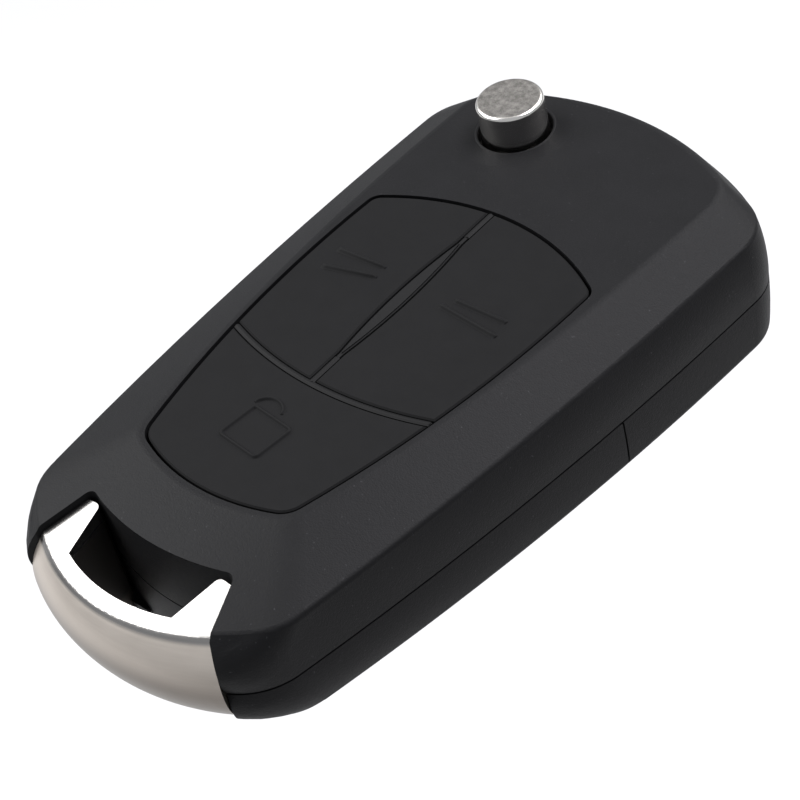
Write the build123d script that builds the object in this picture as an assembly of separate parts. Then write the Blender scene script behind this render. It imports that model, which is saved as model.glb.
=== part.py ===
from build123d import *
import os
from math import degrees, sin, sqrt
from typing import NamedTuple

# A folding car remote key with three push keys, drawn shut.
# Millimetres. X runs across the key, Y towards the pivot end, Z up from the underside.

# Case, outside
case_length = 75.3
case_width = 40.8
case_height = 14.7
parting_height = 5.94
shoulder_height = 12.25
waist_height = 8.6
belly_height = 3.5
widest_from_head = 9.55
side_radius = 350.0
head_corner = 5.8
ring_corner = 6.8
ring_bulge = 1.83
waist_spread = 0.2
waist_ring_corner = 7.6
ring_bulge_at_parting = 1.05
ring_bulge_at_belly = 1.05
belly_ring_corner = 7.8
belly_head_inset = 0.2
wall_lean = 0.4
head_lean = 0.45
shoulder_side_radius = 427.0
shoulder_ring_corner = 5.6
base_lean = 0.17
base_side_radius = 298.0
base_ring_inset = 1.27
base_head_inset = 0.77
base_corner = 6.4
base_round = 1.0
shoulder_round = 0.6

# Radii of the end arcs, beyond half of the width that they span
head_arc = 14.0
ring_arc_at_parting = 3.6
ring_arc_at_waist = 5.4
ring_arc_at_shoulder = 1.4
ring_arc_at_belly = 5.7
ring_arc_at_base = 0.4
plateau_head_arc = 14.45
pad_head_arc = 12.05
pad_ring_arc = 9.0

# Case, inside
wall = 1.25
roof = 1.3
floor = 1.2
seam_gap = 0.2
lip_thickness = 0.5
lip_height = 0.55
lip_clearance = 0.2

# Flat plateau on top
facet_width = 4.45
plateau_side_radius = 213.0
plateau_widest_from_head = 11.15
plateau_from_head = 1.8
plateau_round = 1.2
plateau_corner = 4.5

# Push keys and their pad opening
pad_side_margin = 1.6
pad_side_radius = 114.0
pad_widest_from_head = 26.95
pad_from_head = 19.55
pad_from_ring = 12.85
pad_head_corner = 1.6
pad_ring_corner = 2.6
pad_rim = 0.6
pad_gap = 0.3
pad_skirt = 0.9
key_thickness = 1.65
key_edge = 0.15
key_travel = 0.3
divider_from_head = 45.75
divider_radius = 41.0
divider_top_x = -1.86
divider_foot_x = -0.7
web_width = 0.36
web_clearance = 0.22
groove_depth = 0.15
spindle_length = 16.8
spindle_width = 1.15
spindle_from_divider = 4.3
mat_thickness = 0.5
mat_rim = 1.0
mat_below_keys = 0.35
pad_rise = 0.05
post_radius = 1.3
post_clearance = 0.3

# Keyring loop and its cut-out
cut_front_half = 11.41
cut_back_half = 9.3
cut_flare_half = 12.6
cut_flare_from_ring = 1.4
cut_front_from_ring = 2.57
cut_back_from_ring = 8.3
cut_apex_from_ring = 6.65
cut_corner = 0.8
loop_drop = 0.7
loop_waist_height = 7.4
loop_clearance = 0.1
loop_band = 1.35
loop_inner_half = 6.75
loop_inner_from_ring = 2.55
horn_tip_half = 7.8
horn_tip_from_ring = 7.6
horn_tip_round = 0.65
loop_pin_radius = 1.2
loop_pin_length = 0.9
loop_pin_from_ring = 5.05
loop_pin_height = 9.0

# Flip mechanism
hub_from_side = 11.7
hub_from_head = 8.7
hub_radius = 5.5
hub_clearance = 0.4
hub_bore = 4.2
hub_floor_gap = 0.3
arm_height = 5.2
arm_gap = 0.3
arm_reach = 9.0
arm_shoulder = 1.0
arm_corner = 2.5
blade_offset = 6.2
blade_width = 8.4
blade_thickness = 2.2
blade_from_ring = 14.75
blade_slot_gap = 0.5
blade_fold_angle = 3.2
blade_point = 1.4
tang_width = 6.2
tang_length = 5.5
tang_clearance = 0.05
track_width = 3.4
track_depth = 0.5
track_wave = 0.7
roll_pin_radius = 0.8
roll_pin_from_shoulder = 2.8
bearing_clearance = 0.08
slot_end_gap = 1.6
collar_thickness = 1.1
collar_depth = 2.5

# Release button and its spring
button_radius = 3.35
button_proud = 3.4
button_edge = 0.4
button_hole_radius = 4.04
button_travel = 2.2
dish_radius = 6.2
dish_depth = 0.3
flange_radius = 3.8
flange_thickness = 1.2
lug_reach = 5.2
lug_width = 2.2
lug_clearance = 0.15
latch_boss_radius = 5.6
latch_boss_depth = 1.4
latch_gap = 0.1
stem_outer = 2.15
stem_bore = 1.75
stem_length = 2.9
pivot_post_radius = 1.6
pivot_post_height = 3.4
pivot_boss_height = 2.8
spring_wire = 0.7
spring_mean_radius = 3.1
spring_turns = 4.0

# Fixing posts between the upper shell and the pivot end of the lower case
fixing_radius = 2.1
fixing_pin_radius = 1.1
fixing_pin_length = 2.4
fixing_joint_height = 8.0
fixing_places = [(9.5, 5.3), (14.6, 14.5)]
stop_rib_reach = 2.4
stop_rib_thickness = 0.8
stop_ribs_from_seam = [4.0, 22.0]
head_part_length = 28.65

# Tray, board and what is on it
tray_gap = 0.3
tray_plate = 0.8
tray_top = 8.9
tray_from_head = 19.35
partition_from_hub = 1.4
partition_thickness = 0.9
partition_foot = 3.2
board_thickness = 1.0
board_margin = 0.3
cell_radius = 10.0
cell_thickness = 3.2
cell_from_ring = 27.45
cell_from_wall = 1.3
cell_gap = 0.2
cell_top_gap = 0.5
cradle_wall = 0.8
cradle_foot = 4.6
switch_size = 4.5
switch_height = 1.5
switch_stem_radius = 1.0
switch_stem_rise = 0.5
switch_stem_depth = 1.0
contact_sheet = 0.2
contact_width = 3.0
contact_reach = 6.0
coil_length = 11.5
coil_width = 3.4
coil_height = 2.0
coil_bar = 0.9
coil_flange = 1.2
coil_from_edge = 3.0
controller_size = (7.0, 5.2, 1.4)
controller_from_pad_side = 6.35
radio_size = (4.0, 4.0, 0.9)
radio_from_pad_side = 5.45
crystal_size = (3.2, 2.5, 0.8)
crystal_x = -2.4
crystal_from_switch = 8.07
chip_row_from_divider = 0.4
lower_switch_from_end = 7.2
upper_switch_x = 6.4
upper_switch_from_head = 12.0

# Values that follow from the sizes above
half_width = case_width / 2
plateau_half = half_width - wall_lean - facet_width
pad_half = plateau_half - pad_side_margin
pad_ring_radius = pad_half + pad_ring_arc
head_end = case_length / 2
ring_end = ring_bulge - case_length / 2
hub_x = hub_from_side - half_width
partition_x = hub_x + partition_from_hub
hub_y = head_end - hub_from_head
seam_y = head_end - head_part_length
divider_y = head_end - divider_from_head
roof_underside = case_height - roof
slot_height = blade_thickness + 2 * blade_slot_gap
arm_low = parting_height - arm_height / 2
arm_high = parting_height + arm_height / 2
key_underside = case_height - key_thickness
mat_top = key_underside - mat_below_keys
board_top = tray_top + board_thickness
switch_top = board_top + switch_height
post_foot = switch_top + switch_stem_rise
cell_top = tray_top - cell_top_gap
cell_y = ring_end + cell_from_ring
latch_underside = roof_underside - latch_boss_depth
flange_top = latch_underside - latch_gap
flange_low = flange_top - flange_thickness
hub_top = latch_underside - 2 * latch_gap
pivot_boss_top = floor + pivot_boss_height
tray_inset = wall + tray_gap
chip_row = divider_y + chip_row_from_divider
controller_x = pad_half - controller_from_pad_side
radio_x = radio_from_pad_side - pad_half
coil_y = head_end - tray_from_head - coil_from_edge


class Level(NamedTuple):
    """Plan of the case at one height: two side arcs, a head arc and a ring-end arc, with rounded corners."""
    half: float
    side: float
    widest: float
    head: float
    head_arc: float
    head_round: float
    ring: float
    ring_arc: float
    ring_round: float


parting = Level(
    half_width, side_radius, head_end - widest_from_head,
    head_end, half_width + head_arc, head_corner,
    ring_end - ring_bulge_at_parting, half_width + ring_arc_at_parting, ring_corner)
waist = parting._replace(
    half=half_width + waist_spread, ring=ring_end - ring_bulge,
    ring_arc=half_width + ring_arc_at_waist, ring_round=waist_ring_corner)
shoulder = parting._replace(
    half=half_width - wall_lean, side=shoulder_side_radius, head=head_end - head_lean,
    ring=ring_end, ring_arc=half_width + ring_arc_at_shoulder, ring_round=shoulder_ring_corner)
belly = parting._replace(
    head=head_end - belly_head_inset, ring=ring_end - ring_bulge_at_belly,
    ring_arc=half_width + ring_arc_at_belly, ring_round=belly_ring_corner)
base = parting._replace(
    half=half_width - base_lean, side=base_side_radius, head=head_end - base_head_inset,
    ring=ring_end + base_ring_inset, ring_arc=half_width + ring_arc_at_base, ring_round=base_corner)
pad = Level(
    pad_half, pad_side_radius, head_end - pad_widest_from_head,
    head_end - pad_from_head, pad_half + pad_head_arc, pad_head_corner,
    ring_end + pad_from_ring, pad_ring_radius, pad_ring_corner)
plateau = Level(
    plateau_half, plateau_side_radius, head_end - plateau_widest_from_head,
    head_end - plateau_from_head, plateau_half + plateau_head_arc, plateau_corner,
    pad.ring - pad_rim, pad_ring_radius, pad_ring_corner)


def side_at(level, inset, y):
    """Half width of a level at one place along the key."""
    reach = level.side - inset
    return level.half - level.side + sqrt(reach**2 - (y - level.widest) ** 2)


def corner(level, inset, end, arc):
    """Point where the side arc meets the end arc, found by walking the side arc to the end arc's height."""
    centre_y = end - arc if end > 0 else end + arc
    y = end
    for _ in range(40):
        x = side_at(level, inset, y)
        rise = sqrt((arc - inset) ** 2 - x**2)
        y = centre_y + rise if end > 0 else centre_y - rise
    return x, y


def plan(level, inset=0.0):
    """Plan face of a level, pulled in evenly by the inset: four arcs with rounded corners."""
    hx, hy = corner(level, inset, level.head, level.head_arc)
    rx, ry = corner(level, inset, level.ring, level.ring_arc)
    mid_y = (hy + ry) / 2
    mid_x = side_at(level, inset, mid_y)
    outline = make_face(
        [
            ThreePointArc((rx, ry), (mid_x, mid_y), (hx, hy)),
            ThreePointArc((hx, hy), (0, level.head - inset), (-hx, hy)),
            ThreePointArc((-hx, hy), (-mid_x, mid_y), (-rx, ry)),
            ThreePointArc((-rx, ry), (0, level.ring + inset), (rx, ry)),
        ]
    ).face()
    low = outline.vertices().sort_by(Axis.Y)[:2]
    rounded = outline.fillet_2d(max(level.ring_round - inset, 0.4), low)
    high = rounded.vertices().sort_by(Axis.Y)[-2:]
    return rounded.fillet_2d(max(level.head_round - inset, 0.4), high)


def between(low_face, low, high_face, high):
    """Straight-sided solid that joins two plan faces at two heights."""
    return loft([Pos(0, 0, low) * low_face, Pos(0, 0, high) * high_face], ruled=True)


def barrel(low_face, low, middle_face, middle, high_face, high):
    """Solid whose walls bow smoothly through three plan faces."""
    return loft([Pos(0, 0, low) * low_face, Pos(0, 0, middle) * middle_face, Pos(0, 0, high) * high_face])


def prism(face, low, high):
    """Upright solid of a plan face between two heights."""
    return extrude(Pos(0, 0, low) * face, high - low)


def disc(radius, low, high, x=0.0, y=0.0):
    """Upright cylinder between two heights."""
    return prism(Pos(x, y) * Circle(radius), low, high)


def block(x0, x1, y0, y1, z0, z1):
    """Upright block between named limits."""
    return Pos(x0, y0, z0) * Box(x1 - x0, y1 - y0, z1 - z0, align=(Align.MIN, Align.MIN, Align.MIN))


def ring_cut(grow=0.0):
    """Plan of the cut-out that holds the keyring loop, grown outwards evenly."""
    front = ring_end + cut_front_from_ring
    back = ring_end + cut_back_from_ring
    apex = ring_end + cut_apex_from_ring
    flare = ring_end + cut_flare_from_ring
    outside = ring_end - cut_flare_half
    outline = make_face([
        ThreePointArc((-cut_back_half, back), (0, apex), (cut_back_half, back)),
        Polyline((cut_back_half, back), (cut_front_half, front), (cut_flare_half, flare),
                 (cut_flare_half, outside), (-cut_flare_half, outside), (-cut_flare_half, flare),
                 (-cut_front_half, front), (-cut_back_half, back)),
    ]).face()
    rounded = outline.fillet_2d(cut_corner, outline.vertices().sort_by(Axis.Y)[-2:])
    return offset(rounded, grow, kind=Kind.INTERSECTION) if grow else rounded


def edges_at(solid, height):
    """Edges of a solid that lie level at one height."""
    return [e for e in solid.edges() if abs(e.bounding_box().min.Z - height) < 0.001
            and abs(e.bounding_box().max.Z - height) < 0.001]


def upper_envelope():
    """Outer form of the upper half: bowed walls, then sloping facets up to the plateau."""
    walls = barrel(plan(parting), parting_height, plan(waist), waist_height, plan(shoulder), shoulder_height)
    facets = between(plan(shoulder), shoulder_height, plan(plateau), case_height)
    form = fillet(edges_at(walls + facets, shoulder_height), shoulder_round)
    return fillet(edges_at(form, case_height), plateau_round)


def upper_cavity():
    """Hollow of the upper half, which keeps its walls and roof even."""
    edge = shoulder_height - wall / 2
    walls = between(plan(parting, wall), parting_height, plan(shoulder, wall), edge)
    return walls + between(plan(shoulder, wall), edge, plan(plateau, wall / 2), roof_underside)


def lower_envelope():
    """Outer form of the lower half up to just below the seam, with its rounded lower edge."""
    form = barrel(plan(base), 0, plan(belly), belly_height, plan(parting), parting_height - seam_gap)
    return fillet(edges_at(form, 0), base_round)


def loop_envelope():
    """Outer form of the keyring loop: one smooth bow from base to rim, then the sunken top facet."""
    edge = shoulder_height - loop_drop
    walls = barrel(plan(base), 0, plan(waist), loop_waist_height, plan(shoulder), edge)
    facets = between(plan(shoulder), edge, plan(plateau), case_height - loop_drop)
    form = fillet(edges_at(walls + facets, edge), shoulder_round)
    return fillet(edges_at(form, 0), base_round)


def side_slots():
    """Room for the blade holder's hub, and openings in the far side and the head where it swings out."""
    tip = ring_end + blade_from_ring - slot_end_gap
    blade = block(-case_width, hub_x, tip, hub_y,
                  parting_height - slot_height / 2, parting_height + slot_height / 2)
    right = hub_x + blade_offset + blade_width / 2 + 2 * arm_gap
    start = hub_y - arm_reach - 2 * arm_gap
    holder = block(-case_width, right, start, case_length, arm_low - arm_gap, arm_high + arm_gap)
    hub = disc(hub_radius + hub_clearance, floor, roof_underside - collar_depth, hub_x, hub_y)
    return blade + holder + hub


def upper_shell():
    """Moulded upper half with its pad opening, button bore, latch boss and hub collar."""
    outer = upper_envelope()
    ring_wall = prism(ring_cut(wall), 0, case_height)
    shell = outer - (upper_cavity() - ring_wall)
    rebate = prism(plan(parting, wall - lip_thickness - lip_clearance),
                   parting_height, parting_height + lip_height + lip_clearance)
    shell -= rebate - ring_wall
    shell -= side_slots()
    skirt = plan(pad, -pad_skirt) - plan(pad)
    shell += prism(skirt, mat_top, roof_underside + wall / 2)
    collar = disc(hub_radius + bearing_clearance + collar_thickness,
                  roof_underside - collar_depth, roof_underside + wall / 2, hub_x, hub_y)
    collar -= disc(hub_radius + bearing_clearance, 0, roof_underside, hub_x, hub_y)
    collar += disc(latch_boss_radius, latch_underside, roof_underside, hub_x, hub_y)
    shell += collar & outer
    notch = Box(2 * lug_reach + 2 * lug_clearance, lug_width + 2 * lug_clearance, 2 * latch_boss_depth)
    shell -= Pos(hub_x, hub_y, latch_underside) * notch
    for x, from_head in fixing_places:
        y = head_end - from_head
        post = disc(fixing_radius, fixing_joint_height, case_height, x, y)
        post -= disc(fixing_pin_radius + bearing_clearance, fixing_joint_height,
                     fixing_joint_height + fixing_pin_length + lip_clearance, x, y)
        shell += post & outer
    for side in (-1, 1):
        for from_seam in stop_ribs_from_seam:
            y = seam_y - from_seam
            x = side_at(parting, 0, y) - stop_rib_reach / 2 - wall_lean
            rib = block(-stop_rib_reach / 2, stop_rib_reach / 2, -stop_rib_thickness / 2,
                        stop_rib_thickness / 2, board_top, case_height)
            shell += Pos(side * x, y) * rib & outer
    shell -= prism(plan(pad), mat_top, case_height + 1)
    shell -= disc(button_hole_radius, latch_underside - 1, case_height + 1, hub_x, hub_y)
    dish = Cone(button_hole_radius, dish_radius, dish_depth, align=(Align.CENTER, Align.CENTER, Align.MAX))
    shell -= Pos(hub_x, hub_y, case_height) * dish
    shell -= prism(ring_cut(), 0, case_height + 1)
    for side in (-1, 1):
        shell -= loop_pin(side, bearing_clearance)
    return shell


def loop_pin(side, grow=0.0):
    """Cross pin that holds the keyring loop in the upper shell, or the hole for it."""
    y = ring_end + loop_pin_from_ring
    share = (loop_pin_from_ring - cut_front_from_ring) / (cut_back_from_ring - cut_front_from_ring)
    root = cut_front_half + share * (cut_back_half - cut_front_half) - loop_pin_radius
    length = loop_pin_radius + loop_pin_length + grow
    pin = Cylinder(loop_pin_radius + grow, length, align=(Align.CENTER, Align.CENTER, Align.MIN))
    return Pos(side * root, y, loop_pin_height) * Rot(0, side * 90, 0) * pin


def keyring_loop():
    """Cast loop: a tall bowed band with a horn at each end, below the level of the shell."""
    root = ring_end + loop_inner_from_ring
    tip = ring_end + horn_tip_from_ring
    opening = make_face([
        ThreePointArc((-loop_inner_half, root), (0, ring_end + loop_band), (loop_inner_half, root)),
        Polyline((loop_inner_half, root), (horn_tip_half, tip), (cut_front_half, tip),
                 (cut_front_half, 0), (-cut_front_half, 0), (-cut_front_half, tip),
                 (-horn_tip_half, tip), (-loop_inner_half, root)),
    ]).face()
    outline = (ring_cut(-loop_clearance) - opening).face()
    tips = outline.vertices().filter_by_position(Axis.Y, tip - 0.01, tip + 0.01)
    tips = tips.filter_by_position(Axis.X, -horn_tip_half - 0.01, horn_tip_half + 0.01)
    outline = outline.fillet_2d(horn_tip_round, tips)
    crown = prism(outline, 0, case_height)
    loop = crown & loop_envelope()
    for side in (-1, 1):
        loop += loop_pin(side)
    return loop


def lower_half():
    """Moulded lower half before it is parted: floor, walls, sealing lip and side slots."""
    outer = lower_envelope()
    ring_wall = prism(ring_cut(wall), 0, case_height)
    cavity = between(plan(base, wall), floor, plan(parting, wall), parting_height)
    shell = outer - (cavity - ring_wall)
    lip = prism(plan(parting, wall - lip_thickness) - plan(parting, wall),
                parting_height - 2 * lip_height, parting_height + lip_height)
    shell += lip - ring_wall
    shell -= side_slots()
    return shell - prism(ring_cut(), -1, case_height)


def lower_shell(half):
    """Pivot end of the lower half, with the boss that the blade holder turns on."""
    shell = half & block(-case_width, case_width, seam_y + seam_gap / 2, case_length, -1, case_height)
    shell += disc(hub_bore - bearing_clearance, floor / 2, pivot_boss_top, hub_x, hub_y)
    shell += disc(pivot_post_radius, floor, pivot_boss_top + pivot_post_height, hub_x, hub_y)
    for x, from_head in fixing_places:
        y = head_end - from_head
        shell += disc(fixing_radius, floor / 2, fixing_joint_height, x, y)
        shell += disc(fixing_pin_radius, fixing_joint_height, fixing_joint_height + fixing_pin_length, x, y)
    return shell


def battery_cover(half):
    """Snap-off rear part of the lower half, with ribs that keep the cell up."""
    cover = half & block(-case_width, case_width, -case_length, seam_y - seam_gap / 2, -1, case_height)
    for shift in (-cell_radius / 2, 0, cell_radius / 2):
        cover += block(cell_x + shift - cradle_wall / 2, cell_x + shift + cradle_wall / 2,
                       cell_y - cell_radius / 2, cell_y + cell_radius / 2,
                       floor / 2, cell_top - cell_thickness - tray_gap)
    return cover


def divider_web(grow=0.0):
    """Plan of the raised web between the keys: a bowed cross line, a leaning long line and a spindle."""
    half = web_width / 2 + grow
    centre = divider_y + divider_radius
    cross = Circle(divider_radius + half) - Circle(divider_radius - half)
    cross = Pos(0, centre) * cross & Pos(0, divider_y) * Rectangle(2 * pad_half, divider_radius / 2)
    top = (divider_top_x, pad.head)
    foot = (divider_foot_x, divider_y)
    line = Polyline(foot, top)
    lean = line.tangent_at(0)
    long_line = Pos(line.position_at(0.5)) * Rot(0, 0, Vector(0, 1).get_signed_angle(lean, Vector(0, 0, 1)))
    band = long_line * Rectangle(2 * half, line.length)
    return (cross + band + spindle(grow)) & plan(pad, 0)


def spindle(grow=0.0):
    """Slender lens on the long divider, where two large discs overlap."""
    sag = spindle_width / 2
    chord = spindle_length / 2
    radius = (chord**2 + sag**2) / (2 * sag)
    lens = Pos(radius - sag - web_width / 2, 0) * Circle(radius + grow)
    lens &= Pos(sag + web_width / 2 - radius, 0) * Circle(radius + grow)
    share = (spindle_from_divider + chord) / (pad.head - divider_y)
    x = divider_foot_x + share * (divider_top_x - divider_foot_x)
    lean = (divider_foot_x - divider_top_x) / (pad.head - divider_y)
    return Pos(x, divider_y + spindle_from_divider + chord) * Rot(0, 0, degrees(lean)) * lens


def key_faces():
    """Plans of the three push keys: lower, left and right."""
    pieces = plan(pad, pad_gap) - divider_web(web_clearance)
    faces = pieces.faces().sort_by(Axis.Y)
    upper = ShapeList(faces[1:]).sort_by(Axis.X)
    return {"lower": faces[0], "left": upper[0], "right": upper[-1]}


def push_key(face, switch_at):
    """Key cap with a softened rim and the post that reaches its switch."""
    cap = prism(face, key_underside, case_height)
    cap = chamfer(edges_at(cap, case_height), key_edge)
    return cap + disc(post_radius, post_foot, key_underside + key_edge, *switch_at)


def key_mat():
    """Silicone mat under the keys, whose web stands up between them."""
    mat = prism(plan(pad, -mat_rim), mat_top - mat_thickness, mat_top)
    for at in switch_places.values():
        mat -= disc(post_radius + post_clearance, 0, case_height, *at)
    mat += prism(divider_web() & plan(pad, pad_gap), mat_top - mat_thickness / 2, case_height - groove_depth)
    mat += prism(spindle(-web_width / 2), mat_top, case_height - pad_rise)
    return mat


def blade_holder():
    """Hub that turns on the pivot boss, with the arm that grips the blade."""
    hub = disc(hub_radius, floor + hub_floor_gap, hub_top)
    left = -blade_offset - blade_width / 2
    arm = block(left, left + blade_width, -arm_reach, arm_shoulder, arm_low, arm_high)
    outer_corner = [e for e in arm.edges().filter_by(Axis.Z)
                    if e.center().X < left + 0.1 and e.center().Y > 0]
    arm = fillet(outer_corner, arm_corner)
    holder = hub + arm - disc(hub_bore, 0, case_height)
    lug_depth = hub_top - flange_low + button_travel + lug_clearance
    holder -= Pos(0, 0, hub_top) * Box(2 * hub_radius, lug_width + 2 * lug_clearance, 2 * lug_depth)
    clear = tang_clearance
    deep = blade_thickness / 2 + clear
    holder -= block(-blade_offset - tang_width / 2 - clear, -blade_offset + tang_width / 2 + clear,
                    -arm_reach, -arm_reach + tang_length + clear,
                    parting_height - deep, parting_height + deep)
    holder -= disc(roll_pin_radius + clear, 0, case_height, *pin_at)
    return fold * holder


def key_blade():
    """Flat blade with a pointed end, a tang for the holder and a wavy track milled in each face."""
    reach = hub_y - ring_end - blade_from_ring
    half = blade_width / 2
    low = parting_height - blade_thickness / 2
    high = parting_height + blade_thickness / 2
    outline = make_face(Polyline(
        (-half, -arm_reach), (-half, half - reach), (-blade_point, -reach), (blade_point, -reach),
        (half, half - reach), (half, -arm_reach), (-half, -arm_reach)))
    blade = prism(outline, low, high)
    blade += block(-tang_width / 2, tang_width / 2, -arm_reach, -arm_reach + tang_length, low, high)
    start = -arm_reach - half
    steps = 9
    wave = [(track_width / 2 + track_wave * sin(1.9 * i), start - i * (reach + start) / (steps - 1))
            for i in range(steps)]
    track = make_face([
        Spline(*wave),
        Line(wave[-1], (-track_width / 2, -reach)),
        Line((-track_width / 2, -reach), (-track_width / 2, start)),
        Line((-track_width / 2, start), wave[0]),
    ])
    blade -= prism(track, high - track_depth, high)
    blade -= Rot(0, 180, 0) * prism(track, -low - track_depth, -low)
    blade = Pos(-blade_offset, 0) * blade
    blade -= disc(roll_pin_radius + tang_clearance, 0, case_height, *pin_at)
    return fold * blade


def roll_pin():
    """Slit spring pin through the holder and the blade's tang."""
    pin = disc(roll_pin_radius, arm_low, arm_high) - disc(roll_pin_radius / 2, 0, case_height)
    pin -= block(0, roll_pin_radius, -roll_pin_radius / 6, roll_pin_radius / 6, 0, case_height)
    return fold * Pos(*pin_at) * pin


def release_button():
    """Turned button: proud cap, flange with two lugs, and a hollow stem over the pivot post."""
    top = case_height + button_proud
    button = disc(button_radius, flange_low, top)
    button = fillet(edges_at(button, top), button_edge)
    button += disc(flange_radius, flange_low, flange_top)
    button += Pos(0, 0, (flange_low + flange_top) / 2) * Box(2 * lug_reach, lug_width, flange_thickness)
    button += disc(stem_outer, flange_low - stem_length, flange_low)
    button -= disc(stem_bore, 0, flange_low + stem_bore)
    return fold * button


def flip_spring():
    """Coil spring from the pivot boss to the button's flange, which lifts the button and turns the holder."""
    low = pivot_boss_top + spring_wire / 2 + tang_clearance
    height = flange_low - pivot_boss_top - spring_wire - 2 * tang_clearance
    path = Helix(height / spring_turns, height, spring_mean_radius)
    section = Plane(path.position_at(0), z_dir=path.tangent_at(0)) * Circle(spring_wire / 2)
    return Pos(hub_x, hub_y, low) * sweep(section, path)


def tray_plan(inset):
    """Plan of the tray and board: the case's plan, short of the holder's swing and the ring wall."""
    area = plan(shoulder, inset) & Pos(0, head_end - tray_from_head) * Rectangle(
        2 * case_width, 2 * case_length, align=(Align.CENTER, Align.MAX))
    return area - ring_cut(wall + tray_gap)


def inner_tray():
    """Tray that carries the board, cradles the cell and walls off the blade's bay."""
    outline = tray_plan(tray_inset)
    tray = prism(outline, tray_top - tray_plate, tray_top)
    ring = Circle(cell_radius + cell_gap + cradle_wall)
    upright = Rectangle(partition_thickness, 2 * case_length, align=(Align.MIN, Align.CENTER))
    partition = Pos(partition_x, 0) * upright
    right_side = Rectangle(2 * case_width, 2 * case_length, align=(Align.MIN, Align.CENTER))
    beside_blade = Pos(partition_x, 0) * right_side
    cradle = Pos(cell_x, cell_y) * ring & outline & beside_blade
    tray += prism(cradle, cradle_foot, tray_top - tray_plate / 2)
    tray += prism(partition & outline, partition_foot, tray_top - tray_plate / 2)
    tray -= disc(cell_radius + cell_gap, 0, case_height, cell_x, cell_y)
    gap = contact_width + 2 * cell_gap
    tray -= block(cell_x, case_width, cell_y - gap / 2, cell_y + gap / 2, 0, case_height)
    return tray


def circuit_board():
    """Glass-fibre board on the tray."""
    return prism(tray_plan(tray_inset + board_margin), tray_top, board_top)


def switch_body(at):
    """Housing of a tactile switch, bored for its stem."""
    body = block(-switch_size / 2, switch_size / 2, -switch_size / 2, switch_size / 2, board_top, switch_top)
    body = chamfer(body.edges().filter_by(Axis.Z), key_edge)
    body -= disc(switch_stem_radius + tang_clearance, board_top + tang_clearance, case_height)
    return Pos(*at) * body


def switch_stem(at):
    """Plunger of a tactile switch, which moves with its key."""
    return disc(switch_stem_radius, switch_top - switch_stem_depth, post_foot, *at)


def coin_cell():
    """Lithium coin cell: a can with a slightly smaller lid."""
    low = cell_top - cell_thickness
    rim = cell_thickness / 10
    can = disc(cell_radius, low, cell_top - rim)
    can = fillet(edges_at(can, low), rim)
    return Pos(cell_x, cell_y) * (can + disc(cell_radius - 4 * rim, low + rim, cell_top))


def negative_contact():
    """Bowed sheet spring under the board that presses on the cell's lid."""
    rise = cell_top_gap - contact_sheet - tang_clearance
    end = contact_reach
    side = [ThreePointArc((-end, 0), (0, -rise), (end, 0)),
            Line((end, 0), (end, contact_sheet)),
            ThreePointArc((end, contact_sheet), (0, contact_sheet - rise), (-end, contact_sheet)),
            Line((-end, contact_sheet), (-end, 0))]
    strip = extrude(Plane.XZ * make_face(side), contact_width / 2, both=True)
    return Pos(cell_x, cell_y, tray_top - contact_sheet) * strip


def positive_contact():
    """Bent sheet tab that stands against the cell's rim, with its foot under the board."""
    x = cell_x + cell_radius + tang_clearance
    half = contact_width / 2
    tab = block(x, x + contact_sheet, -half, half, cell_top - cell_thickness, tray_top)
    foot = block(x - contact_width / 2, x + contact_sheet, -half, half, tray_top - contact_sheet, tray_top)
    return Pos(0, cell_y) * (tab + foot)


def coil_core():
    """Ferrite core of the transponder coil: a bar with a flange at each end."""
    core = Box(coil_length, coil_bar, coil_bar)
    for side in (-1, 1):
        core += Pos(side * (coil_length - coil_flange) / 2, 0) * Box(coil_flange, coil_width, coil_height)
    return Pos(0, coil_y, board_top + coil_height / 2) * core


def coil_winding():
    """Copper winding on the core, between its flanges."""
    length = coil_length - 2 * coil_flange
    winding = Box(length, coil_width - 2 * key_edge, coil_height - 2 * key_edge)
    winding = fillet(winding.edges().filter_by(Axis.X), 3 * key_edge)
    winding -= Box(length, coil_bar, coil_bar)
    return Pos(0, coil_y, board_top + coil_height / 2) * winding


def chip(length, width, height, at):
    """Moulded component body with drafted upper edges, on the board."""
    body = block(-length / 2, length / 2, -width / 2, width / 2, board_top, board_top + height)
    body = chamfer(edges_at(body, board_top + height), key_edge)
    return Pos(*at) * body


fold = Pos(hub_x, hub_y) * Rot(0, 0, blade_fold_angle)
pin_at = (-blade_offset, roll_pin_from_shoulder - arm_reach)
cell_x = side_at(shoulder, wall, cell_y) - cell_from_wall - cell_radius
lower_switch_y = pad.ring + lower_switch_from_end
switch_places = {
    "lower": (0.0, lower_switch_y),
    "left": (-upper_switch_x, pad.head - upper_switch_from_head),
    "right": (upper_switch_x, pad.head - upper_switch_from_head),
}


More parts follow.
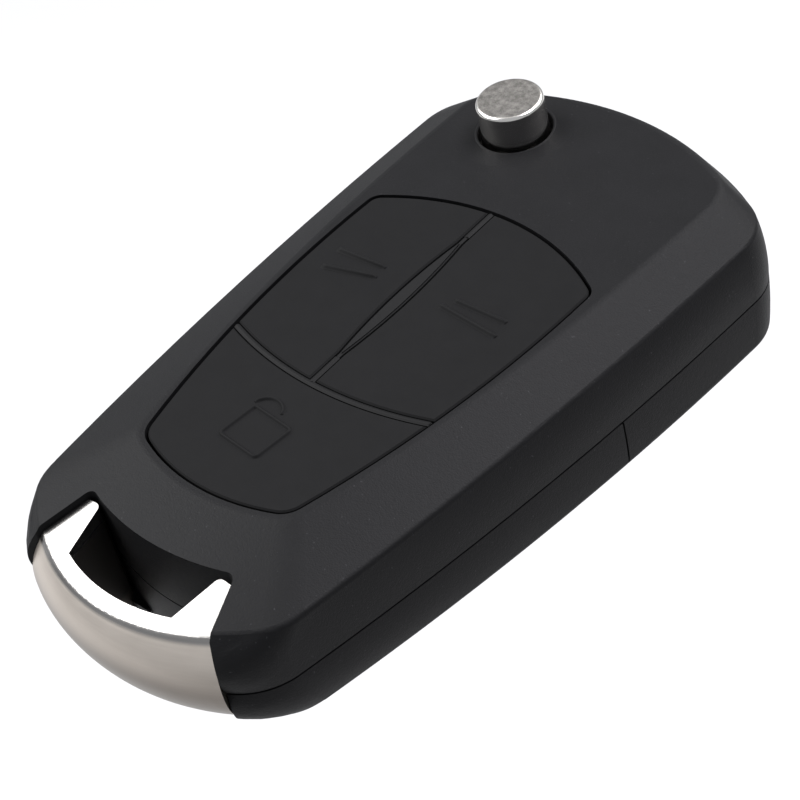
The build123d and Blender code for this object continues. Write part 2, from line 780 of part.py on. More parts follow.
def build():
    """Every piece of the remote, by name."""
    pieces = {"upper_shell": upper_shell()}
    half = lower_half()
    pieces["lower_shell"] = lower_shell(half)
    pieces["battery_cover"] = battery_cover(half)
    pieces["keyring_loop"] = keyring_loop()
    pieces["key_mat"] = key_mat()
    for side, face in key_faces().items():
        at = switch_places[side]
        pieces[side + "_key"] = push_key(face, at)
        pieces[side + "_switch_stem"] = switch_stem(at)
        pieces[side + "_switch_body"] = switch_body(at)
    pieces["blade_holder"] = blade_holder()
    pieces["key_blade"] = key_blade()
    pieces["roll_pin"] = roll_pin()
    pieces["release_button"] = release_button()
    pieces["flip_spring"] = flip_spring()
    pieces["inner_tray"] = inner_tray()
    pieces["circuit_board"] = circuit_board()
    pieces["coin_cell"] = coin_cell()
    pieces["negative_contact"] = negative_contact()
    pieces["positive_contact"] = positive_contact()
    pieces["controller_chip"] = chip(*controller_size, (controller_x, chip_row))
    pieces["coil_core"] = coil_core()
    pieces["coil_winding"] = coil_winding()
    pieces["radio_chip"] = chip(*radio_size, (radio_x, chip_row))
    pieces["crystal"] = chip(*crystal_size, (crystal_x, lower_switch_y + crystal_from_switch))
    return pieces


os.makedirs("parts", exist_ok=True)
for name, piece in build().items():
    export_step(piece, "parts/" + name + ".step")
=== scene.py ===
from math import cos, radians, sin

import bpy
import numpy as np
from mathutils import Matrix, Vector


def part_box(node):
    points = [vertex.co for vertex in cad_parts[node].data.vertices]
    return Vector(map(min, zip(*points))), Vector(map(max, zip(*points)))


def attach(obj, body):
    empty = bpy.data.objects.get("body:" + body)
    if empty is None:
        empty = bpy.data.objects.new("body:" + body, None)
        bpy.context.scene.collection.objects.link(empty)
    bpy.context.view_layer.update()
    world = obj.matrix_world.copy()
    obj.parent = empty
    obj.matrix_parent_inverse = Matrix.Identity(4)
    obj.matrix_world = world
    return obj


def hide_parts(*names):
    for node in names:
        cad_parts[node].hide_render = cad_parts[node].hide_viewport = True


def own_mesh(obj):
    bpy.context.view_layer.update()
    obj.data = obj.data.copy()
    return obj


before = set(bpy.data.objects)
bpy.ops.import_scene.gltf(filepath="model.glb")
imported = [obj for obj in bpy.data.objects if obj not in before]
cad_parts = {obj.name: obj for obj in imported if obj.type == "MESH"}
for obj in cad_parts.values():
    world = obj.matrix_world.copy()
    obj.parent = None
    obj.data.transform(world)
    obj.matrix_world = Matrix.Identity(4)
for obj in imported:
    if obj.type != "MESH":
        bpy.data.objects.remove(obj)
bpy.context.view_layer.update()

# One millimetre in metres
MM = 0.001
button_low, button_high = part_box("release_button")
loop_low, loop_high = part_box("keyring_loop")
KEY_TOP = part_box("lower_key")[1].z
BUTTON_AXIS = (button_low + button_high) / 2
# The button's axis at the level of the key tops, in millimetres: small trim is placed from here
PIVOT = np.array([BUTTON_AXIS.x / MM, BUTTON_AXIS.y / MM, KEY_TOP / MM])


def camera_at_photo_view():
    """Puts the camera where the photograph was taken from.

    It is placed from a point on the case top, given in millimetres from the button's axis, which the
    photograph shows at a known pixel. Focal length and pixel are in the photograph's pixels.
    """
    photo_side, sensor_side = 800, 36
    azimuth, elevation, roll = radians(53.811), radians(42.08), radians(-15.511)
    focal, distance = 2481.9, 221.7
    pixel_across, pixel_down = 345.93, 357.88
    from_button = Vector((8.7, -33.04, 0))
    back = Vector((sin(azimuth) * cos(elevation), -cos(azimuth) * cos(elevation), sin(elevation)))
    level_right = Vector((cos(azimuth), sin(azimuth), 0))
    level_up = back.cross(level_right)
    right = level_right * cos(roll) + level_up * sin(roll)
    up = level_up * cos(roll) - level_right * sin(roll)
    aside = (pixel_across - photo_side / 2) / focal * distance
    above = (photo_side / 2 - pixel_down) / focal * distance
    eye = back * distance - right * aside - up * above
    start = Vector((BUTTON_AXIS.x, BUTTON_AXIS.y, KEY_TOP)) + from_button * MM
    spot = start + eye * MM
    camera = bpy.data.objects.new("camera", bpy.data.cameras.new("camera"))
    camera.data.sensor_width = sensor_side
    camera.data.lens = focal * sensor_side / photo_side
    camera.data.clip_start = 0.01
    camera.matrix_world = Matrix((
        (right.x, up.x, back.x, spot.x),
        (right.y, up.y, back.y, spot.y),
        (right.z, up.z, back.z, spot.z),
        (0, 0, 0, 1)))
    bpy.context.scene.collection.objects.link(camera)
    bpy.context.scene.camera = camera


camera_at_photo_view()


# Shader maths

class Value:
    """A shader output that takes part in Python arithmetic; each operator adds one Math node."""

    def __init__(self, finish, socket):
        self.finish = finish
        self.socket = socket

    def _math(self, operation, first, second=None):
        node = self.finish.node("ShaderNodeMath", {"operation": operation}, {0: first, 1: second})
        return self.finish.out(node, 0)

    def __add__(self, other):
        return self._math("ADD", self, other)

    def __radd__(self, other):
        return self._math("ADD", other, self)

    def __sub__(self, other):
        return self._math("SUBTRACT", self, other)

    def __rsub__(self, other):
        return self._math("SUBTRACT", other, self)

    def __mul__(self, other):
        return self._math("MULTIPLY", self, other)

    def __rmul__(self, other):
        return self._math("MULTIPLY", other, self)

    def __mod__(self, other):
        return self._math("FLOORED_MODULO", self, other)

    def __rmod__(self, other):
        return self._math("FLOORED_MODULO", other, self)

    def __abs__(self):
        return self._math("ABSOLUTE", self)

    def wave(self):
        """Sine of an angle in radians."""
        return self._math("SINE", self)

    def root(self):
        """Square root."""
        return self._math("SQRT", self)

    def ramp(self, start, end):
        """0 below start, 1 above end, and a smooth step between them."""
        node = self.finish.node("ShaderNodeMapRange", {"interpolation_type": "SMOOTHSTEP"},
                                {"Value": self, "From Min": start, "From Max": end})
        return self.finish.out(node, "Result")


class Finish:
    """One node-based material. Patterns are in millimetres of the key's own frame.

    The colour and roughness that it starts with are even; paint and rough lay a pattern over them.
    """

    def __init__(self, name, color, roughness, metallic=0.0, specular=0.5, coat=0.0):
        self.material = bpy.data.materials.new(name)
        self.material.use_nodes = True
        self.nodes = self.material.node_tree.nodes
        self.links = self.material.node_tree.links
        self.shader = self.nodes["Principled BSDF"]
        self.shader.inputs["Base Color"].default_value = (*color, 1)
        self.shader.inputs["Roughness"].default_value = roughness
        self.shader.inputs["Metallic"].default_value = metallic
        self.shader.inputs["Specular IOR Level"].default_value = specular
        self.shader.inputs["Coat Weight"].default_value = coat
        place = self.node("ShaderNodeTexCoord", {}, {})
        scaled = self.node("ShaderNodeVectorMath", {"operation": "SCALE"},
                           {"Vector": self.out(place, "Object"), "Scale": 1000.0})
        self.place = self.out(scaled, 0)
        axes = self.node("ShaderNodeSeparateXYZ", {}, {0: self.place})
        self.x, self.y, self.z = (self.out(axes, i) for i in range(3))

    def node(self, kind, settings, values):
        """Adds a node: its settings first, then the numbers, colours or links of its sockets."""
        node = self.nodes.new(kind)
        for key, setting in settings.items():
            setattr(node, key, setting)
        for key, value in values.items():
            if isinstance(value, Value):
                self.links.new(value.socket, node.inputs[key])
            elif value is not None:
                node.inputs[key].default_value = value
        return node

    def out(self, node, key):
        return Value(self, node.outputs[key])

    def stretched(self, across, along, upright):
        """The place scaled by three factors, so that a pattern runs longer one way."""
        node = self.node("ShaderNodeVectorMath", {"operation": "MULTIPLY"},
                         {0: self.place, 1: (across, along, upright)})
        return self.out(node, 0)

    def noise(self, size, detail=2.0, roughness=0.5, place=None):
        """Cloudy noise from 0 to 1 with features of about the given size in millimetres."""
        node = self.node("ShaderNodeTexNoise", {},
                         {"Vector": place or self.place, "Scale": 1 / size,
                          "Detail": detail, "Roughness": roughness})
        return self.out(node, "Fac")

    def cells(self, size):
        """Distance to the nearest cell point, for pores of the given size in millimetres."""
        node = self.node("ShaderNodeTexVoronoi", {}, {"Vector": self.place, "Scale": 1 / size})
        return self.out(node, "Distance")

    def mix(self, share, first, second):
        """Colour between two colours by a share from 0 to 1."""
        node = self.node("ShaderNodeMix", {"data_type": "RGBA"}, {0: share, 6: first, 7: second})
        return self.out(node, 2)

    def feed(self, name, value):
        """Links a value or a colour to one of the shader's own sockets."""
        self.links.new(value.socket, self.shader.inputs[name])

    def paint(self, color):
        self.feed("Base Color", color)

    def rough(self, value):
        self.feed("Roughness", value)

    def relief(self, height, depth, strength):
        """Small surface relief: height from 0 to 1 stands for the depth in millimetres."""
        bump = self.node("ShaderNodeBump", {},
                         {"Height": height, "Distance": depth * MM, "Strength": strength})
        self.feed("Normal", self.out(bump, "Normal"))


def flat(r, g, b):
    """An opaque colour."""
    return (r, g, b, 1)


# Finishes that the photograph shows

def case_plastic():
    """Black moulded case: spark-eroded grain with faint cloudy tone changes and rare light specks."""
    finish = Finish("case_plastic", (0.0068, 0.0068, 0.0073), 0.48, specular=0.11)
    grain = finish.noise(0.16, 3.0, 0.6)
    cloud = finish.noise(3.5, 3.0)
    speck = finish.noise(0.3, 1.0, 0.5).ramp(0.74, 0.79)
    shade = cloud * 0.6 + grain * 0.4
    black = finish.mix(shade, flat(0.0042, 0.0042, 0.0046), flat(0.0074, 0.0074, 0.0082))
    finish.paint(finish.mix(speck, black, flat(0.026, 0.026, 0.028)))
    finish.rough(0.42 + grain * 0.14 + cloud * 0.04)
    finish.relief(grain * 0.7 + finish.noise(0.45, 2.0) * 0.3, 0.06, 0.8)
    return finish.material


def key_rubber():
    """Soft-touch key caps: smoother and duller than the case, with faint rub marks."""
    finish = Finish("key_rubber", (0.009, 0.009, 0.0093), 0.55, specular=0.05)
    grain = finish.noise(0.12, 2.0, 0.6)
    rub = finish.noise(2.2, 4.0, 0.65)
    shade = rub * 0.7 + grain * 0.3
    finish.paint(finish.mix(shade, flat(0.0066, 0.0066, 0.0068), flat(0.0094, 0.0094, 0.0098)))
    finish.rough(0.48 + rub * 0.12 + grain * 0.05)
    finish.relief(grain * 0.6 + rub * 0.4, 0.02, 0.45)
    return finish.material


def mat_rubber():
    """Silicone mat that shows in the grooves between the keys."""
    finish = Finish("mat_rubber", (0.0075, 0.0075, 0.0078), 0.6, specular=0.1)
    grain = finish.noise(0.2, 3.0)
    finish.paint(finish.mix(grain, flat(0.006, 0.006, 0.0062), flat(0.009, 0.009, 0.0094)))
    finish.rough(0.55 + grain * 0.12)
    finish.relief(grain, 0.015, 0.4)
    return finish.material


def plated_loop():
    """Nickel plating: polished top facets painted in a darker copy of the plating, as painted shade, and a
    bowed front in warmer satin that is painted darker downwards, as painted shade.

    The inner wall is painted darker still, as painted shade. It is what lies about three millimetres or
    more behind the front and above the loop's rounded foot; the front's bow falls back with the square of
    the distance from the middle.
    """
    finish = Finish("plated_loop", (0.56, 0.53, 0.5), 0.16, metallic=1.0)
    bow_per_square = 0.0198
    top, front = loop_high.z / MM, loop_low.y / MM
    ripple = finish.noise(3.0, 2.0)
    streak = finish.noise(0.5, 3.0, 0.6, finish.stretched(0.12, 0.12, 2.2))
    wear = streak * 0.6 + ripple * 0.4
    facet = finish.z.ramp(top - 1.9, top - 1.5)
    satin = finish.mix(wear, flat(0.6, 0.54, 0.48), flat(0.73, 0.664, 0.6))
    # painted shade: a darker copy of the satin, laid on the lower front and fading out between six and ten
    # millimetres up
    shaded_foot_satin = finish.mix(wear, flat(0.19, 0.17, 0.15), flat(0.25, 0.224, 0.199))
    bowed_front = finish.mix(finish.z.ramp(6.0, 10.0), shaded_foot_satin, satin)
    # painted shade: the top facets get a darker copy of the plating, which tones down their reflection;
    # their lower roughness is real polish
    dimmed_facet_plating = finish.mix(wear, flat(0.265, 0.257, 0.25), flat(0.33, 0.321, 0.313))
    # painted shade: the inner wall, behind the front and above the foot, gets a near-black copy of the
    # plating
    behind = finish.y - front - finish.x * finish.x * bow_per_square
    inner = behind.ramp(2.85, 3.1) * finish.z.ramp(1.5, 2.5)
    sides = finish.mix(inner, bowed_front, flat(0.11, 0.102, 0.095))
    finish.paint(finish.mix(facet, sides, dimmed_facet_plating))
    finish.rough(0.32 + streak * 0.09 + ripple * 0.04 - facet * 0.15)
    finish.relief(ripple * 0.8 + streak * 0.2, 0.02, 0.3)
    return finish.material


def turned_button():
    """Nickel button: mottled, fine-grained flat top, bright smooth rim and side."""
    finish = Finish("turned_button", (0.62, 0.6, 0.58), 0.25, metallic=1.0)
    height = button_high.z / MM
    top = finish.z.ramp(height - 0.06, height - 0.01)
    speckle = finish.noise(0.11, 4.0, 0.7)
    cloud = finish.noise(1.8, 3.0)
    mottle = (speckle * 0.5 + finish.noise(0.7, 3.0, 0.6) * 0.5).ramp(0.36, 0.66)
    bright = finish.mix(cloud, flat(0.6, 0.585, 0.56), flat(0.74, 0.725, 0.7))
    grained = finish.mix(mottle, flat(0.13, 0.124, 0.115), flat(0.3, 0.288, 0.268))
    finish.paint(finish.mix(top, bright, grained))
    finish.rough(0.14 + top * 0.2 + top * speckle * 0.16 + cloud * 0.05)
    finish.relief(speckle * top, 0.05, 0.6)
    return finish.material


# Finishes of the pieces inside

def milled_blade():
    """Nickel-silver blade with fine milling lines along its length."""
    finish = Finish("milled_blade", (0.6, 0.585, 0.55), 0.3, metallic=1.0)
    lines = finish.noise(0.14, 3.0, 0.6, finish.stretched(1.0, 0.05, 0.3))
    stain = finish.noise(5.0, 3.0)
    shade = stain * 0.5 + lines * 0.5
    finish.paint(finish.mix(shade, flat(0.5, 0.485, 0.45), flat(0.68, 0.665, 0.63)))
    finish.rough(0.22 + lines * 0.16 + stain * 0.06)
    finish.relief(lines, 0.02, 0.5)
    return finish.material


def holder_paint():
    """Satin black paint over a cast blade holder, slightly orange-peeled."""
    finish = Finish("holder_paint", (0.022, 0.022, 0.023), 0.35, specular=0.5)
    peel = finish.noise(0.7, 2.0)
    speck = finish.noise(0.1, 2.0)
    finish.paint(finish.mix(peel, flat(0.018, 0.018, 0.019), flat(0.03, 0.03, 0.031)))
    finish.rough(0.3 + peel * 0.1 + speck * 0.06)
    finish.relief(peel * 0.7 + speck * 0.3, 0.03, 0.5)
    return finish.material


def drawn_steel(name, tone):
    """Drawn or rolled steel with fine upright lines and slight heat tint."""
    finish = Finish(name, (tone, tone, tone), 0.28, metallic=1.0)
    lines = finish.noise(0.08, 2.0, 0.5, finish.stretched(1.0, 1.0, 0.2))
    tint = finish.noise(1.5, 2.0)
    warm = flat(tone * 0.86, tone * 0.84, tone * 0.8)
    finish.paint(finish.mix(tint, warm, flat(tone, tone, tone * 1.02)))
    finish.rough(0.2 + lines * 0.14 + tint * 0.06)
    finish.relief(lines, 0.01, 0.4)
    return finish.material


def tray_nylon():
    """Matte moulded nylon with flow marks."""
    finish = Finish("tray_nylon", (0.045, 0.045, 0.046), 0.6, specular=0.4)
    flow = finish.noise(4.0, 3.0, 0.6, finish.stretched(1.0, 0.35, 1.0))
    grain = finish.noise(0.18, 2.0)
    finish.paint(finish.mix(flow, flat(0.036, 0.036, 0.037), flat(0.056, 0.056, 0.057)))
    finish.rough(0.52 + grain * 0.12 + flow * 0.05)
    finish.relief(grain * 0.7 + flow * 0.3, 0.02, 0.5)
    return finish.material


def solder_mask():
    """Green mask over copper: patches of wandering tracks, and plated spots on a square grid."""
    finish = Finish("solder_mask", (0.015, 0.12, 0.05), 0.3, specular=0.5, coat=0.3)
    track_pitch, spot_pitch = 1.6, 2.54
    warp = finish.noise(9.0, 0.0)
    lane = abs(((finish.x + warp * 6.0) % track_pitch) - track_pitch / 2)
    patch = finish.noise(5.5, 1.0).ramp(0.5, 0.52)
    track = (1 - lane.ramp(0.16, 0.22)) * patch
    spot = abs((finish.x % spot_pitch) - spot_pitch / 2) + abs((finish.y % spot_pitch) - spot_pitch / 2)
    plated = (1 - spot.ramp(0.42, 0.48)) * finish.noise(7.0, 1.0).ramp(0.56, 0.57)
    masked = finish.mix(track, flat(0.008, 0.085, 0.034), flat(0.022, 0.17, 0.07))
    finish.paint(finish.mix(plated, masked, flat(0.62, 0.55, 0.36)))
    finish.feed("Metallic", plated)
    finish.rough(0.26 + finish.noise(0.3, 2.0) * 0.12)
    finish.relief(track * 0.6 + plated * 0.4, 0.03, 0.6)
    return finish.material


def chip_epoxy():
    """Dark moulding compound with a fine even grit."""
    finish = Finish("chip_epoxy", (0.02, 0.02, 0.021), 0.5, specular=0.4)
    grit = finish.noise(0.07, 2.0, 0.6)
    finish.paint(finish.mix(grit, flat(0.015, 0.015, 0.0155), flat(0.03, 0.03, 0.031)))
    finish.rough(0.42 + grit * 0.18)
    finish.relief(grit, 0.012, 0.5)
    return finish.material


def sintered_core():
    """Grey sintered core with open pores."""
    finish = Finish("sintered_core", (0.08, 0.08, 0.085), 0.65, specular=0.4)
    pore = finish.cells(0.22).ramp(0.05, 0.4)
    # painted shade: the pores are painted darker than the face around them
    finish.paint(finish.mix(pore, flat(0.04, 0.04, 0.043), flat(0.095, 0.095, 0.1)))
    finish.rough(0.55 + pore * 0.15)
    finish.relief(pore, 0.02, 0.5)
    return finish.material


def wound_copper():
    """Enamelled copper wire in close turns across the coil's length, a turn every 0.15 millimetres."""
    finish = Finish("wound_copper", (0.55, 0.24, 0.1), 0.25, metallic=1.0, coat=0.5)
    radians_per_mm = 42.0
    turn = (finish.x * radians_per_mm).wave() * 0.5 + 0.5
    drift = finish.noise(1.2, 2.0)
    # painted shade: the copper is painted darker in the valleys between turns; the drift is a random change
    # of tone
    shade = turn * 0.7 + drift * 0.3
    finish.paint(finish.mix(shade, flat(0.26, 0.09, 0.035), flat(0.72, 0.33, 0.15)))
    finish.rough(0.2 + (1 - turn) * 0.25)
    finish.relief(turn, 0.05, 0.7)
    return finish.material


def cell_nickel():
    """Nickelled coin cell with fine circular polishing lines round its middle."""
    finish = Finish("cell_nickel", (0.66, 0.655, 0.64), 0.22, metallic=1.0)
    radians_per_mm, drift = 55.0, 9.0
    low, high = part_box("coin_cell")
    middle = (low + high) / (2 * MM)
    across, along = finish.x - middle.x, finish.y - middle.y
    radius = (across * across + along * along).root()
    rings = (radius * radians_per_mm + finish.noise(2.5, 3.0) * drift).wave() * 0.5 + 0.5
    finish.paint(finish.mix(rings, flat(0.56, 0.55, 0.53), flat(0.72, 0.715, 0.7)))
    finish.rough(0.18 + rings * 0.12)
    finish.relief(rings, 0.008, 0.4)
    return finish.material


def switch_moulding(name, low_tone, high_tone):
    """Small moulded switch part with a matte, slightly uneven face."""
    finish = Finish(name, high_tone, 0.5, specular=0.4)
    mark = finish.noise(0.5, 3.0)
    finish.paint(finish.mix(mark, flat(*low_tone), flat(*high_tone)))
    finish.rough(0.42 + mark * 0.16)
    finish.relief(mark, 0.012, 0.5)
    return finish.material


CASE = case_plastic()
KEY = key_rubber()
finishes = {
    "upper_shell": CASE, "lower_shell": CASE, "battery_cover": CASE,
    "lower_key": KEY, "left_key": KEY, "right_key": KEY,
    "key_mat": mat_rubber(),
    "keyring_loop": plated_loop(),
    "release_button": turned_button(),
    "key_blade": milled_blade(),
    "blade_holder": holder_paint(),
    "roll_pin": drawn_steel("pin_steel", 0.6),
    "flip_spring": drawn_steel("spring_steel", 0.5),
    "inner_tray": tray_nylon(),
    "circuit_board": solder_mask(),
    "coin_cell": cell_nickel(),
    "coil_core": sintered_core(),
    "coil_winding": wound_copper(),
    "crystal": drawn_steel("can_steel", 0.68),
}
CONTACT = drawn_steel("contact_nickel", 0.72)
CHIP = chip_epoxy()
SWITCH = switch_moulding("switch_body_moulding", (0.05, 0.05, 0.055), (0.09, 0.09, 0.095))
STEM = switch_moulding("switch_stem_moulding", (0.5, 0.45, 0.36), (0.64, 0.59, 0.48))
for name in ("negative_contact", "positive_contact"):
    finishes[name] = CONTACT
for name in ("controller_chip", "radio_chip"):
    finishes[name] = CHIP
for side in ("lower", "left", "right"):
    finishes[side + "_switch_body"] = SWITCH
    finishes[side + "_switch_stem"] = STEM

for name, material in finishes.items():
    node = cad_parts[name]
    node.data.materials.clear()
    node.data.materials.append(material)


# Pieces that the scene adds

def tube_mesh(name, points, ring=False):
    """Closed mesh of a tube with smooth shading, from sections of points in millimetres, a row each.

    Each row joins its last point to its first, and each row joins the next. The two ends are capped,
    unless it is a ring, whose last row joins the first.
    """
    rows, columns = points.shape[:2]
    index = np.arange(rows * columns).reshape(rows, columns)
    caps = [] if ring else [index[0, ::-1].tolist(), index[-1].tolist()]
    index = np.hstack([index, index[:, :1]])
    if ring:
        index = np.vstack([index, index[:1]])
    corners = [index[:-1, :-1], index[:-1, 1:], index[1:, 1:], index[1:, :-1]]
    faces = np.stack(corners, axis=-1).reshape(-1, 4)
    mesh = bpy.data.meshes.new(name)
    mesh.from_pydata((points.reshape(-1, 3) * MM).tolist(), [], faces.tolist() + caps)
    mesh.shade_smooth()
    return mesh


def add_piece(name, mesh, body, material):
    """Puts a finished mesh into the scene on the body that carries it."""
    piece = bpy.data.objects.new(name, mesh)
    bpy.context.scene.collection.objects.link(piece)
    piece.data.materials.append(material)
    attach(piece, body)
    return piece


def raised_bar(name, route, width, height, body, shares=(1, 1), ring=False, fading=True, foot=0.0,
               slot="key"):
    """Low moulded ridge along a route on a key's top or, with a foot below zero, on the web between them.

    The route is in millimetres from the button's axis. Where the ridge is fading, its height grows with
    the square root of the distance from each end, up to full height at 0.6 of its width. Its width goes
    from the first share of itself at the start to the second at the end. Across, the section is a raised
    cosine: height times half of (1 + cos) of the distance from the middle, with its feet just under the
    surface that it stands on, closed underneath.
    """
    step, least_sections, fade_share = 0.12, 24, 0.6
    sink, underside, underside_share = 0.015, -0.05, 0.9
    top_points = 11
    route = np.asarray(route, float)
    run = np.concatenate([[0], np.cumsum(np.linalg.norm(np.diff(route, axis=0), axis=1))])
    t = np.linspace(0, run[-1], max(int(run[-1] / step), least_sections), endpoint=not ring)
    middle = np.stack([np.interp(t, run, route[:, k]) for k in range(2)], axis=1)
    if ring:
        heading = np.roll(middle, -1, axis=0) - np.roll(middle, 1, axis=0)
    else:
        heading = np.gradient(middle, axis=0)
    heading /= np.linalg.norm(heading, axis=1)[:, None]
    normal = np.stack([heading[:, 1], -heading[:, 0]], axis=1)
    fade = np.ones_like(t)
    if fading and not ring:
        fade = np.clip(np.minimum(t, run[-1] - t) / (fade_share * width), 0, 1) ** 0.5
    share = shares[0] + (shares[1] - shares[0]) * t / run[-1]
    reach = width / 2 * share
    v = np.concatenate([np.linspace(-1, 1, top_points), [underside_share, -underside_share]])
    side = middle[:, None] + normal[:, None] * (v[None, :, None] * reach[:, None, None])
    rise = height * (0.5 + 0.5 * np.cos(np.pi * v))[None, :] * fade[:, None] - sink
    rise[:, top_points:] = underside
    points = np.concatenate([side, rise[:, :, None] + foot], axis=2) + PIVOT
    material = finishes["key_mat"] if slot == "mat" else KEY
    add_piece(name, tube_mesh(name, points, ring), body, material)


def arc(centre, radius, start, end, count=24):
    """Points on a circular arc: centre plus radius times (cos, sin) of the angle."""
    angle = np.radians(np.linspace(start, end, count))
    return np.stack([centre[0] + radius * np.cos(angle), centre[1] + radius * np.sin(angle)], axis=1)


def rounded_box(centre, half_across, half_along, corner, turn):
    """Closed outline of a box with round corners, turned about its middle."""
    corner_points = 8
    spots = [(half_across, half_along, 0), (-half_across, half_along, 90),
             (-half_across, -half_along, 180), (half_across, -half_along, 270)]
    quarters = [arc((x - corner * np.sign(x), y - corner * np.sign(y)), corner, start, start + 90,
                    corner_points)
                for x, y, start in spots]
    outline = np.vstack(quarters + [quarters[0][:1]])
    c, s = cos(radians(turn)), sin(radians(turn))
    return outline @ np.array([[c, s], [-s, c]]) + np.array(centre)


def key_signs():
    """Worn signs on the key tops: an open lock on the lower key, two plain strokes on each other one."""
    lock_height, stroke_height = 0.24, 0.32
    lock_body = rounded_box((8.3, -44.24), half_across=2.55, half_along=2.1, corner=0.35, turn=-5)
    shackle = arc((7.2, -42.1), radius=1.75, start=20, end=165)
    raised_bar("open_lock_body", lock_body, width=0.6, height=lock_height, body="lower_push_key", ring=True)
    raised_bar("open_lock_shackle", shackle, width=0.55, height=lock_height, body="lower_push_key")
    boot_strokes = {"boot_stroke_inner": [(-2.35, -24.99), (3.6, -23.54)],
                    "boot_stroke_outer": [(-2.7, -22.44), (3.4, -22.14)]}
    closed_strokes = {"closed_stroke_inner": [(11.35, -23.34), (18.8, -23.89)],
                      "closed_stroke_outer": [(12.1, -22.14), (18.4, -21.99)]}
    for name, route in boot_strokes.items():
        raised_bar(name, route, width=0.85, height=stroke_height, body="left_push_key", shares=(1.2, 0.7))
    for name, route in closed_strokes.items():
        raised_bar(name, route, width=0.8, height=stroke_height, body="right_push_key")


def web_beads():
    """Low round beads on the mat's web: a bowed one across the key and two short ones along it."""
    width, height, web_level = 0.6, 0.13, -0.15
    routes = {"cross_web_bead": arc((8.7, 3.95), radius=41, start=252.5, end=287.5, count=80),
              "long_web_bead_foot": [(8.0, -36.9), (7.84, -33.3)],
              "long_web_bead_head": [(7.02, -14.9), (6.86, -11.2)]}
    for name, route in routes.items():
        raised_bar(name, route, width, height, "case", fading=False, foot=web_level, slot="mat")


def coil_spring():
    """Round wire on a helix between pivot boss and button.

    The wire's middle line is (R cos t, R sin t, rise in proportion to t) over its turns, and each
    section is a circle of the wire's radius across the line's heading.
    """
    low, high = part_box("flip_spring")
    wire, turns = 0.35, 4
    sections_per_turn, points_round_wire = 48, 12
    centre = (low + high) / (2 * MM)
    radius = (high.x - low.x) / (2 * MM) - wire
    t = np.linspace(0, 2 * np.pi * turns, sections_per_turn * turns + 1)
    bottom, top = low.z / MM + wire, high.z / MM - wire
    rise = bottom + (top - bottom) * t / t[-1]
    line = np.stack([radius * np.cos(t), radius * np.sin(t), rise], axis=1)
    line += np.array([centre.x, centre.y, 0])
    outward = np.stack([np.cos(t), np.sin(t), np.zeros_like(t)], axis=1)
    slope = (top - bottom) / t[-1]
    along = np.stack([-radius * np.sin(t), radius * np.cos(t), np.full_like(t, slope)], axis=1)
    along /= np.linalg.norm(along, axis=1)[:, None]
    across = np.cross(along, outward)
    a = np.linspace(0, 2 * np.pi, points_round_wire, endpoint=False)[None, :, None]
    round_wire = outward[:, None] * np.cos(a) + across[:, None] * np.sin(a)
    mesh = tube_mesh("flip_coil", line[:, None] + wire * round_wire)
    coil = add_piece("flip_coil", mesh, "case", finishes["flip_spring"])
    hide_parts("flip_spring")
    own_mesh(coil)


def horn_shade_bar(name, near, far):
    """Bar of case plastic on the battery cover under one horn tip: a straight bar of box section across the
    gap, which closes it so that it shows dark, as a stand-in for the shade there.

    Its ends and its long sides are placed from the button's axis, its foot and top from the case's
    underside.
    """
    ring_side, key_side, foot, top = -57.9, -56.3, 0.15, 0.9
    sections = 5
    section = np.array([(ring_side, foot), (key_side, foot), (key_side, top), (ring_side, top)])
    across = np.linspace(near, far, sections)
    points = np.empty((sections, len(section), 3))
    points[:, :, 0] = across[:, None] + PIVOT[0]
    points[:, :, 1] = section[None, :, 0] + PIVOT[1]
    points[:, :, 2] = section[None, :, 1]
    mesh = tube_mesh(name, points)
    mesh.shade_flat()
    add_piece(name, mesh, "cover", CASE)


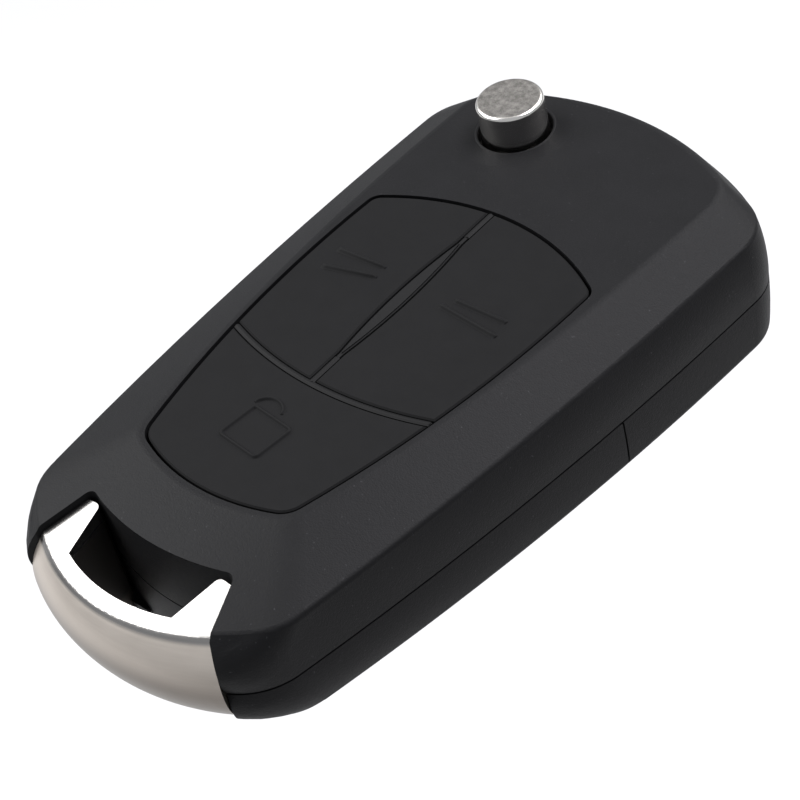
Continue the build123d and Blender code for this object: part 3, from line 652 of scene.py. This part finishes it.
def bore_lip():
    """Narrowing lip at the mouth of the button's bore.

    The section is a quarter wave: from the bore's wall just under the dish it rises to the lip's round
    edge and falls down the inner wall. It is carried round the button's axis.
    """
    inner, outer, edge = 3.74, 4.08, 0.12
    drop, depth = 0.3, 1.2
    sections, edge_points = 96, 7
    turn = np.linspace(0, 2 * np.pi, sections, endpoint=False)
    bend = np.linspace(0, np.pi / 2, edge_points)
    radius = np.concatenate([[outer], inner + edge * (1 - np.sin(bend)), [inner, outer]])
    level = np.concatenate([[-drop], edge * (np.cos(bend) - 1) - drop, [-drop - depth, -drop - depth]])
    points = np.stack([radius[None, :] * np.cos(turn)[:, None], radius[None, :] * np.sin(turn)[:, None],
                       np.broadcast_to(level[None, :], (sections, len(level)))], axis=2)
    mesh = tube_mesh("bore_lip", points[::-1] + PIVOT, ring=True)
    add_piece("bore_lip", mesh, "case", CASE)


key_signs()
web_beads()
coil_spring()
# stand-in shade: dark bars of case plastic close the view through the gaps under the horn tips
horn_shade_bar("horn_shade_bar_left", near=-0.9, far=3.1)
horn_shade_bar("horn_shade_bar_right", near=14.3, far=18.3)
bore_lip()


# Floor, surround and lights, in metres

def softbox(name, spot, width, height, power, tone=(1, 1, 1)):
    """Rectangular light turned towards the middle of the key."""
    target = Vector((0, 0, 0.01))
    lamp = bpy.data.lights.new(name, "AREA")
    lamp.shape = "RECTANGLE"
    lamp.size, lamp.size_y = width, height
    lamp.energy = power
    lamp.color = tone
    holder = bpy.data.objects.new(name, lamp)
    holder.location = spot
    holder.rotation_euler = (Vector(spot) - target).to_track_quat("Z", "Y").to_euler()
    bpy.context.scene.collection.objects.link(holder)


def floor_and_light():
    """A pale floor well below the key, a pale surround and soft studio boxes."""
    reach, floor_z = 2.0, -0.12
    corners = [(-reach, -reach, floor_z), (reach, -reach, floor_z),
               (reach, reach, floor_z), (-reach, reach, floor_z)]
    mesh = bpy.data.meshes.new("floor")
    mesh.from_pydata(corners, [], [(0, 1, 2, 3)])
    floor = bpy.data.objects.new("floor", mesh)
    bpy.context.scene.collection.objects.link(floor)
    pale = Finish("floor_paper", (0.47, 0.47, 0.47), 0.85, specular=0.2)
    mesh.materials.append(pale.material)

    world = bpy.data.worlds.new("surround")
    world.use_nodes = True
    background = world.node_tree.nodes["Background"]
    background.inputs["Color"].default_value = (0.95, 0.97, 1.0, 1)
    background.inputs["Strength"].default_value = 0.6
    bpy.context.scene.world = world
    bpy.context.scene.view_settings.view_transform = "Standard"

    softbox("slope_box", (0.12, 0.21, 0.43), width=0.26, height=0.22, power=2.5, tone=(0.97, 0.95, 1.0))
    softbox("ring_box", (-0.36, -0.15, 0.39), width=0.48, height=0.42, power=4.6)
    softbox("back_box", (0.08, 0.52, 0.34), width=0.44, height=0.28, power=2.2)


floor_and_light()
